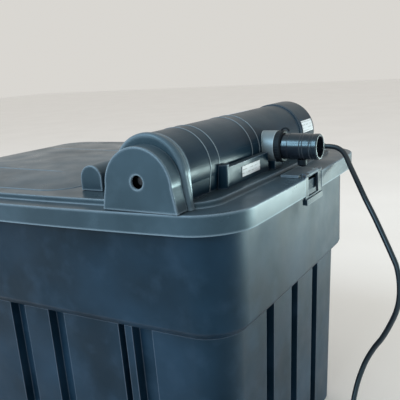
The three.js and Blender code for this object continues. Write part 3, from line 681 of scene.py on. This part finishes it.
def flange_ring(z):
    """An outline of the flange that the lid sits on, with as many points as the wall's outline."""
    sides = grooved(LONG_GROOVES, 0), grooved(SHORT_GROOVES, 0)
    return outline(FLANGE_INSET, FLANGE_INSET, CORNER_R - 6, z, *sides)


# ---- Tank ----
def make_tank():
    """The tank's shell, from the floor up the outside and down the inside."""
    outer = [
        tank_ring(LOWER_INSET + DRAFT + 1.5, 0, GROOVE_DEPTH),
        tank_ring(LOWER_INSET + DRAFT, 1.5, GROOVE_DEPTH),
        tank_ring(LOWER_INSET, LOWER_Z - 1, GROOVE_DEPTH),
        tank_ring(LOWER_INSET, LOWER_Z),
        tank_ring(LOWER_INSET - 3, LOWER_Z + 2),
        tank_ring(COLLAR_INSET + 1.5, COLLAR_Z - 2),
        tank_ring(COLLAR_INSET, COLLAR_Z + 1.5),
        tank_ring(COLLAR_INSET - 2, FLANGE_Z[0] - 2),
        flange_ring(FLANGE_Z[0]),
        flange_ring(FLANGE_Z[1]),
    ]
    inner = [
        tank_ring(COLLAR_INSET - 2 + WALL, FLANGE_Z[1]),
        tank_ring(COLLAR_INSET + WALL, COLLAR_Z + 2),
        tank_ring(LOWER_INSET + WALL, LOWER_Z + 1),
        tank_ring(LOWER_INSET + WALL, LOWER_Z - 3, GROOVE_DEPTH, WALL),
        tank_ring(LOWER_INSET + DRAFT + WALL, 4, GROOVE_DEPTH, WALL),
    ]
    tank = link_mesh("tank_shell", loft([*outer, *inner]))
    pads, bores = [], []
    for fitting, gasket, pad_r, bore_r in (
        ("outlet_flange", "outlet_gasket", 40, 25.5),
        ("drain_body", "drain_gasket", 22, 13.2),
    ):
        low, high = mm_box(fitting)
        face = mm_box(gasket)[1].x + GAP
        y, z = (low.y + high.y) / 2, (low.z + high.z) / 2
        pads.append(at(along_x(rod(pad_r, 0, 8.5)), face, y, z))
        bores.append(at(along_x(rod(bore_r, -5, 30)), face, y, z))
    combine(tank, pads, "UNION")
    combine(tank, bores, "DIFFERENCE")
    soften(tank, 0.9)
    place(tank, "tank", "tank_plastic", "tank")


# ---- Lid ----
def lid_ring(inset_x, inset_y, radius, z):
    """An outline of the lid."""
    return outline(inset_x, inset_y, radius, z, even(200, 25), even(130, 15))


def lid_skin(t, below):
    """The lid's outlines from the skirt to the deck, set in by t and lengthened below."""
    edge = 1.5 if t == 0 else 0.5
    return [
        lid_ring(0.5 + t, 0.5 + t, CORNER_R - t, RIM_Z - SKIRT - below),
        lid_ring(t, t, CORNER_R - t, RIM_Z - 1.5 - t),
        lid_ring(t + edge * 0.35, t + edge * 0.35, CORNER_R - t - 0.5, RIM_Z - 0.5 - t),
        lid_ring(t + edge, t + edge, CORNER_R - t - 1.5, RIM_Z - t),
        lid_ring(DECK_INSET_X - 1 + t, DECK_INSET_Y - 1 + t, DECK_R - t, RIM_Z - t),
        lid_ring(DECK_INSET_X + t, DECK_INSET_Y + t, DECK_R - t, DECK_Z - 1.6 - t),
        lid_ring(DECK_INSET_X + 0.6 + t, DECK_INSET_Y + 0.6 + t, DECK_R - t, DECK_Z - 0.5 - t),
        lid_ring(DECK_INSET_X + 1.8 + t, DECK_INSET_Y + 1.8 + t, DECK_R - t, DECK_Z - t),
    ]


def crown_ring(share, z, drop):
    """The panel's outline, drawn in by a share of its size and by drop, and lowered by drop."""
    x, y = CROWN_CENTRE
    half_x, half_y = (half * (1 - share) - drop for half in CROWN_HALF)
    r = CROWN_R * (1 - share)
    ring = []
    for side_x, side_y, start in ((1, -1, -90), (1, 1, 0), (-1, 1, 90), (-1, -1, 180)):
        corner_x, corner_y = x + side_x * (half_x - r), y + side_y * (half_y - r)
        for i in range(13):
            a = math.radians(start + i * 7.5)
            ring.append((corner_x + r * math.cos(a), corner_y + r * math.sin(a), z - drop))
    return ring


def crown_form(drop):
    """The raised panel on the left of the lid, domed in a few levels."""
    shares = (0.02, 0.05, 0.1, 0.17, 0.26, 0.38, 0.52, 0.66, 0.8)
    foot = crown_ring(shares[0], DECK_Z - 2, drop)
    domed = [crown_ring(t, DECK_Z + CROWN * (1 - (1 - t) ** 3), drop) for t in shares]
    return loft([foot, *domed])


def crease(start, end, width, depth):
    """A shallow straight groove across the crowned panel, from start to end in plan."""
    dx, dy = end[0] - start[0], end[1] - start[1]
    crest = DECK_Z + CROWN
    form = block((0, math.hypot(dx, dy)), (-width / 2, width / 2), (crest - depth, crest + 9))
    return moved(form, Matrix.Translation((*start, 0)) @ Matrix.Rotation(math.atan2(dy, dx), 4, "Z"))


def make_lid():
    """The lid's shell, with a trough for the clarifier and a notch in the skirt for each latch."""
    lid = link_mesh("lid_shell", loft(lid_skin(0, 0)))
    combine(lid, [crown_form(0)], "UNION")
    combine(lid, [loft(lid_skin(WALL, 5)), crown_form(WALL)], "DIFFERENCE")
    trough = link_mesh("trough", at(rod(UV_R + 5, HOUSING_LOW.y - 4.5, CAP_HIGH.y + 4.5), UV_X, 0, UV_Z))
    below_deck = block((100, 290), (-210, 200), (300, DECK_Z - 1))
    combine(trough, [below_deck], "INTERSECT")
    apply_tool(lid, trough, "UNION")
    room = at(rod(UV_R + 2 * GAP, HOUSING_LOW.y - 1, CAP_HIGH.y + 1), UV_X, 0, UV_Z)
    drain = at(along_z(rod(SPOUT_R + 2 * GAP, 350, 400)), UV_X, SPOUT_Y, 0)
    notch_y, skirt_z = (-LATCH_HALF - 1.5, LATCH_HALF + 1.5), (370, 410)
    notches = [block(x, notch_y, skirt_z) for x in ((-310, -NOTCH_X), (NOTCH_X, 310))]
    creases = [crease((72, 38), (-290, 74), 2.6, 2.4), crease((72, -120), (-290, -101), 2.6, 2.4)]
    combine(lid, [room, drain, *notches, *creases], "DIFFERENCE")
    soften(lid, 0.9)
    place(lid, "lid", "case_plastic", "lid")


# ---- UV clarifier ----
def inlet_bore():
    """The way in through the neck to the inside of the housing."""
    return at(along_x(rod(TAIL_BORE, 20, 90, 64)), UV_X, 0, TAIL_Z)


def make_housing():
    """The clarifier's body: a round tube whose upper half runs straight down to the deck."""
    low, high = HOUSING_LOW.y, HOUSING_HIGH.y
    housing = link_mesh("clarifier_tube", at(rod(DOME_R, low, high, 128), UV_X, 0, UV_Z))
    stub = at(along_z(rod(SPOUT_R, UV_Z - 62, UV_Z - 40, 64)), UV_X, SPOUT_Y, 0)
    dome = slab(arch(UV_X, DOME_HALF, DECK_Z + GAP, UV_Z, DOME_R), (low, high))
    combine(housing, [dome, stub], "UNION")
    hollow = at(rod(UV_R - 5, low + 3, high + 5), UV_X, 0, UV_Z)
    stub_bore = at(along_z(rod(SPOUT_BORE, 350, UV_Z - 30, 64)), UV_X, SPOUT_Y, 0)
    combine(housing, [hollow, inlet_bore(), stub_bore], "DIFFERENCE")
    soften(housing, 0.5, 3, 40)
    # The housing takes the darker copy of its plastic, as painted shade.
    place(housing, "lid", "case_plastic", "uv_housing", finish="dome_shaded_plastic")


def make_ring(y):
    """One of the thin moulded hoops that stand on the dome."""
    shape = arch(UV_X, DOME_HALF + RING_RISE, DECK_Z + GAP, UV_Z, DOME_R + RING_RISE)
    hoop = link_mesh("dome_ring", slab(shape, (y - 0.7, y + 0.7)))
    inside = slab(arch(UV_X, DOME_HALF - 0.5, DECK_Z - 5, UV_Z, DOME_R - 0.5), (y - 5, y + 5))
    combine(hoop, [inside], "DIFFERENCE")
    soften(hoop, 0.3, 2, 40)
    # The pale hoop finish is a painted highlight.
    place(hoop, "lid", "case_plastic", "uv_housing", finish="ring_highlight_plastic")


def make_neck():
    """The inlet's neck and the foot under it, moulded on the housing's right side."""
    neck = link_mesh("inlet_neck", at(along_x(rod(NECK_R, 30, NECK_END - UV_X, 128)), UV_X, 0, TAIL_Z))
    foot_z = (DECK_Z + GAP, TAIL_Z - 12)
    foot = link_mesh("neck_foot", block((UV_X + 30, NECK_END - 1), (-11, 11), foot_z))
    dome = slab(arch(UV_X, DOME_HALF + 0.1, DECK_Z - 5, UV_Z, DOME_R + 0.1), (-40, 40))
    neck_room = at(along_x(rod(NECK_R + 0.1, 20, 90, 128)), UV_X, 0, TAIL_Z)
    combine(foot, [dome, neck_room], "DIFFERENCE")
    combine(neck, [dome, inlet_bore()], "DIFFERENCE")
    soften(neck, 1.2, 3, 40)
    soften(foot, 0.8, 3, 40)
    # The neck takes a paler copy of its plastic, as painted light.
    place(neck, "lid", "case_plastic", "uv_housing", finish="neck_lit_plastic")
    # The foot takes the darker copy of the plastic, as painted shade under the neck.
    place(foot, "lid", "case_plastic", "uv_housing", finish="dome_shaded_plastic")


def make_top_label():
    """A thin printed film that follows the top of the dome."""
    far = mm_box("top_label")[1].y
    turn = [math.radians(92 + 36 * i / 24) for i in range(25)]
    outer, inner = DOME_R + 0.3, DOME_R + 0.05
    shape = [(UV_X + outer * math.cos(a), UV_Z + outer * math.sin(a)) for a in turn]
    shape += [(UV_X + inner * math.cos(a), UV_Z + inner * math.sin(a)) for a in reversed(turn)]
    film = link_mesh("top_film", slab(shape, (RING_Y[-1] + 4, far)))
    film.data.shade_smooth()
    film.data.set_sharp_from_angle(angle=SMOOTH_BELOW)
    place(film, "lid", "label", "top_label")


def make_end_cap():
    """The cap over the lamp's socket, with a groove round it and a spigot inside the housing."""
    start, far, r = HOUSING_HIGH.y + GAP, CAP_HIGH.y, UV_R
    crown = [(r - 8 + 8 * math.cos(a), far - 8 + 8 * math.sin(a)) for a in np.linspace(0, math.pi / 2, 10)]
    profile = [(38.5, start - 12), (38.5, start), (r - 1.2, start), (r, start + 1.2), (r, start + 3)]
    profile += [(r - 0.8, start + 3.6), (r - 0.8, start + 5), (r, start + 5.6), *crown]
    profile += [(0, far), (0, far - 3), (r - 9, far - 3), (r - 3.5, far - 9)]
    profile += [(r - 3.5, start + 3), (35.5, start + 3), (35.5, start - 12), (38.5, start - 12)]
    cap = link_mesh("end_cap", at(turned(profile, 128), UV_X, 0, UV_Z))
    soften(cap, 0.4)
    place(cap, "lid", "case_plastic", "uv_end_cap", finish="dome_shaded_plastic")


def deck_room():
    """What the raised deck takes from a cover that reaches past its edge down to the ledge."""
    inset_x, inset_y = DECK_INSET_X - 1.3, DECK_INSET_Y - 1.3
    return loft([lid_ring(inset_x, inset_y, DECK_R + 1, z) for z in (RIM_Z - 5, DECK_Z + GAP)])


def make_arch():
    """The rounded bead that frames the clarifier's front end, hollow from behind."""
    low, high = mm_box("uv_arch")
    bead = link_mesh("arch_hood", slab(arch(UV_X, ARCH_HALF, RIM_Z - 4, UV_Z, UV_R), (low.y, low.y + 10)))
    soften(bead, 3.8, 5)
    bead.modifiers.clear()
    step = slab(arch(UV_X, ARCH_HALF - 6, RIM_Z - 4, UV_Z, DOME_R), (low.y + 5, high.y))
    combine(bead, [step], "UNION")
    inside = slab(arch(UV_X, ARCH_HALF - 9, RIM_Z - 5, UV_Z, UV_R - 7), (low.y + 4, high.y + 1))
    ledge_room = block((UV_X - 60, UV_X + 60), (low.y - 5, high.y + 5), (RIM_Z - 9, RIM_Z + GAP))
    combine(bead, [inside, deck_room(), ledge_room], "DIFFERENCE")
    soften(bead, 0.3, 2, 50)
    # The bead's finish paints shade on its face and a highlight along its edge.
    place(bead, "lid", "case_plastic", "uv_arch", finish="bead_shade_and_highlight")


def make_front_boss():
    """The rounded boss before the arch, open behind, with a hole in its front."""
    low, high = mm_box("front_shield")
    half, r, centre_z, wall = 46, 41, UV_Z - 8, 4
    boss = link_mesh("front_boss", slab(arch(UV_X, half, RIM_Z + GAP, centre_z, r, 64), (low.y, high.y)))
    inside = slab(arch(UV_X, half - wall, RIM_Z - 5, centre_z, r - wall), (low.y + wall, high.y + 1))
    hole = at(rod(7, low.y - 2, low.y + 6, 64), UV_X, 0, UV_Z - 3)
    combine(boss, [inside, deck_room(), hole], "DIFFERENCE")
    soften(boss, 1.6, 4)
    place(boss, "lid", "case_plastic", "front_shield")


def make_side_duct():
    """The small arched cover on the left of the boss."""
    low, high = mm_box("side_duct")
    x, r, wall = (low.x + high.x) / 2, (high.x - low.x) / 2, 2.5
    spring = high.z - r
    duct = link_mesh("duct_cover", slab(arch(x, r, DECK_Z + GAP, spring, r, 32), (low.y, high.y)))
    inside = slab(arch(x, r - wall, DECK_Z - 5, spring, r - wall, 32), (low.y + wall, high.y - wall))
    combine(duct, [inside], "DIFFERENCE")
    soften(duct, 1.0, 3)
    place(duct, "lid", "case_plastic", "side_duct")


def make_rail():
    """The block along the right of the housing, with a round post at its near end."""
    low, high = mm_box("clamp_rail")
    inner, nose, top = 232, 8.0, high.z - 3
    corner_x, corner_y = high.x - nose, low.y + nose
    turn = [math.radians(a) for a in range(-90, 1, 6)]
    plan = [(inner, low.y), *[(corner_x + nose * math.cos(a), corner_y + nose * math.sin(a)) for a in turn]]
    plan += [(high.x, high.y), (inner, high.y)]
    rail = link_mesh("side_rail", loft([[(x, y, z) for x, y in plan] for z in (low.z, top)]))
    post = at(along_z(rod(nose, low.z, high.z, 48)), corner_x, corner_y, 0)
    combine(rail, [post], "UNION")
    housing_room = slab(arch(UV_X, DOME_HALF + 1, DECK_Z - 5, UV_Z, UV_R - 1), (-220, 120))
    combine(rail, [housing_room], "DIFFERENCE")
    soften(rail, 1.2, 3)
    place(rail, "lid", "case_plastic", "clamp_rail", finish="dome_shaded_plastic")


def make_inlet_tail():
    """A hose tail that narrows a little towards its end, with three small steps and an end bead."""
    root, end, r, bore = TAIL_LOW.x, TAIL_HIGH.x, TAIL_R, TAIL_BORE
    wall, taper = r - 0.6, 0.03
    nut_end = mm_box("inlet_nut")[1].x
    profile = [(bore, root), (18.6, root), (18.6, root + 2.8), (r - 0.2, root + 2.8)]
    profile += [(r - 0.2, nut_end + 0.6), (wall + taper * (end - nut_end), nut_end + 1.4)]
    for back in (22.5, 19.0, 10.5):
        here, x = wall + taper * back, end - back
        profile += [(here, x), (here + 0.3, x + 0.3), (here + 0.3, x + 0.7), (here, x + 1)]
    profile += [(r - 0.5, end - 7), (r, end - 6.4), (r, end - 1.2), (r - 1, end)]
    profile += [(bore + 0.4, end), (bore, end - 0.6), (bore, root)]
    tail = link_mesh("hose_tail", at(along_x(turned(profile, 128)), 0, 0, TAIL_Z))
    soften(tail, 0.2)
    place(tail, "lid", "gloss_black", "inlet_tail", finish="tail_plastic")


def make_inlet_nut():
    """A slim union collar with fine grip flutes, and the wire loop that locks it."""
    start, r, flute_count = mm_box("inlet_nut")[0].x, 19.9, 36
    profile = [(18.9, start), (r - 0.8, start), (r, start + 0.8), (r, start + 6.6)]
    profile += [(r - 1.4, start + 8), (16.4, start + 8)]
    profile += [(16.4, start + 4.7), (18.9, start + 4.7), (18.9, start)]
    nut = link_mesh("union_collar", at(along_x(turned(profile, 96)), 0, 0, TAIL_Z))
    flute = along_x(rod(0.45, start + 1.2, start + 6.4, 12))
    flutes = []
    for i in range(flute_count):
        turn = Matrix.Rotation(2 * math.pi * i / flute_count, 4, "X")
        flutes.append(at(moved(flute, turn @ Matrix.Translation((0, 0, r + 0.15))), 0, 0, TAIL_Z))
    combine(nut, flutes, "DIFFERENCE")
    bend = [math.pi - math.pi * i / 16 for i in range(17)]
    wire = [(start + 9 + 5 * math.cos(a), 0, TAIL_Z + 18.6 + 4.2 * math.sin(a)) for a in bend]
    combine(nut, [sweep(wire, 1.2, 16)], "UNION")
    nut.data.shade_smooth()
    nut.data.set_sharp_from_angle(angle=SMOOTH_BELOW)
    place(nut, "inlet_nut", "gloss_black", "inlet_nut", finish="matte_black")


def make_outlet_tail():
    """The outlet's hose tail, with five barbs."""
    low, high = mm_box("outlet_tail")
    y, z, long, bore = (low.y + high.y) / 2, (low.z + high.z) / 2, high.x - low.x, 18
    profile = [(bore, 0), (27, 0), (27, 3.4), (25, 3.4), (25, 34.4), (20.3, 38)]
    for i in range(5):
        h = 42 + i * 4.6
        profile += [(19.8, h), (20.5, h + 3), (19.8, h + 3.5)]
    profile += [(20.5, 66), (20.5, 67.6), (19.7, long), (bore, long), (bore, 0)]
    outwards = Matrix.Translation((high.x, y, z)) @ Matrix.Rotation(math.pi / 2, 4, "Z")
    tail = link_mesh("outlet_hose_tail", moved(turned(profile, 96), outwards))
    soften(tail, 0.3)
    place(tail, "tank", "gloss_black", "outlet_tail")


# ---- Filter media ----
def make_foam(index):
    """A cut foam block: corners eased, faces slightly crowned and its cells left rough."""
    node = f"foam_{index}"
    low, high = mm_box(node)
    room = Vector((1.2, 1.2, 1.2))
    low, high = low + room, high - room
    pad = link_mesh(f"foam_pad_{index}", block((low.x, high.x), (low.y, high.y), (low.z, high.z)))
    soften(pad, 3.5, 3)
    pad.modifiers.clear()
    split = pad.modifiers.new("split", "REMESH")
    split.mode = "VOXEL"
    split.voxel_size = 0.005
    rough = bpy.data.textures.new(f"cells_{index}", "CLOUDS")
    rough.noise_scale = 0.012
    shape = pad.modifiers.new("shape", "DISPLACE")
    shape.texture = rough
    shape.strength = 0.0016
    shape.mid_level = 0.55
    bake_modifiers(pad)
    pad.data.shade_smooth()
    place(pad, "tank", "foam_fine" if index % 2 == 0 else "foam_coarse", node)


def make_bio_ball(index):
    """A slotted ball of stacked discs joined by crossed webs."""
    node = f"bio_ball_{index}"
    low, high = mm_box(node)
    centre, r = (low + high) / 2, (high.x - low.x) / 2 - 0.6
    ball = link_mesh(f"slotted_ball_{index}", at(rod(4, -r + 1, r - 1, 24), *centre))
    discs = []
    for i in range(7):
        h = (i - 3) * r * 0.27
        wide = math.sqrt(r * r - (abs(h) + 0.9) ** 2)
        discs.append(at(rod(wide, h - 0.8, h + 0.8, 40), *centre))
    wide, thin = (-r * 0.78, r * 0.78), (-0.7, 0.7)
    webs = [at(block(wide, wide, thin), *centre), at(block(thin, wide, wide), *centre)]
    combine(ball, [*discs, *webs], "UNION")
    ball.data.shade_smooth()
    ball.data.set_sharp_from_angle(angle=math.radians(38))
    place(ball, "tank", "gloss_black", node)


# ---- CAD nodes whose shape is right keep it, with rounded edges and a finish ----
# These take a finish of their own, and every other node takes its slot's.
OWN_FINISH = {
    # The screw and the latch pins take the darkened steel, as painted shade.
    "end_screw": "shaded_steel", "bleed_plug": "matte_black",
    "latch_pin_right": "shaded_steel", "latch_pin_left": "shaded_steel",
    "latch_right": "latch_plastic", "latch_left": "latch_plastic",
}


def finish_cad_nodes():
    """Rounds and finishes each CAD node that no piece here stands for."""
    slots = {s["node"]: s["material_slot"] for s in frame["record"]["subparts"]}
    for name, obj in frame["nodes"].items():
        if obj.hide_render:
            continue
        obj.data.materials.clear()
        obj.data.materials.append(FINISH[OWN_FINISH.get(name, slots[name])])
        weld = obj.modifiers.new("weld", "WELD")
        weld.merge_threshold = 1e-5
        low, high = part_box(name)
        thinnest = min(high - low)
        edge = obj.modifiers.new("edge", "BEVEL")
        edge.width = min(0.0005, thinnest * 0.15)
        edge.segments = 2
        edge.limit_method = "ANGLE"
        edge.angle_limit = math.radians(35)
        obj.data.shade_smooth()
        weigh = obj.modifiers.new("weigh", "WEIGHTED_NORMAL")
        weigh.keep_sharp = False


# ---- Floor and light ----
def floor_finish(name, color, roughness):
    """A matt surface with a faint cloudiness."""
    n = Nodes(name)
    tone = n.ramp(n.noise(3), ((0.3, tuple(c * 0.96 for c in color)), (0.7, color)))
    n.link(tone, n.shader.inputs["Base Color"])
    n.shader.inputs["Roughness"].default_value = roughness
    return n.material


def make_floor():
    """A pale floor, 24 m across."""
    r = 12000
    corners = [(-r, -r, 0), (r, -r, 0), (r, r, 0), (-r, r, 0)]
    floor = link_mesh("floor", (corners, [(0, 1, 2, 3)]))
    floor.data.materials.append(floor_finish("floor_finish", (0.93, 0.925, 0.92), 0.9))


def area_light(name, stands_at, towards, size, watts, color):
    """A rectangular light at one point, in metres, that faces another."""
    data = bpy.data.lights.new(name, "AREA")
    data.shape = "RECTANGLE"
    data.size, data.size_y = size
    data.energy = watts
    data.color = color
    light = bpy.data.objects.new(name, data)
    light.location = stands_at
    light.rotation_euler = (Vector(towards) - Vector(stands_at)).to_track_quat("-Z", "Y").to_euler()
    bpy.context.scene.collection.objects.link(light)


def make_light():
    """A pale room, a long low light on the right and two soft ones in front."""
    world = bpy.data.worlds.new("world")
    world.use_nodes = True
    walls = world.node_tree.nodes["Background"]
    walls.inputs["Color"].default_value = (0.79, 0.77, 0.73, 1)
    walls.inputs["Strength"].default_value = 0.88
    bpy.context.scene.world = world
    bpy.context.scene.view_settings.view_transform = "Standard"
    housing, tank_side = (0.2, 0, 0.3), (0.3, 0, 0.15)
    cool, green = (0.82, 0.92, 1), (0.84, 1, 0.93)
    area_light("side_window", (1.65, 1.3, 0.085), tank_side, (1.2, 0.15), 36, green)
    area_light("front_ceiling", (-1.0, -2.0, 2.35), housing, (1.1, 1.1), 50, cool)
    area_light("front_window", (-0.3, -3.0, 1.65), housing, (1.6, 0.5), 45, cool)


make_camera()
FINISH = make_finishes()
make_lead()
make_strain_relief()
make_tank()
make_lid()
make_housing()
for ring_y in RING_Y:
    make_ring(ring_y)
make_neck()
make_top_label()
make_end_cap()
make_arch()
make_front_boss()
make_side_duct()
make_rail()
make_inlet_tail()
make_inlet_nut()
make_outlet_tail()
for number in range(1, 6):
    make_foam(number)
for number in range(1, 5):
    make_bio_ball(number)
finish_cad_nodes()
make_floor()
make_light()
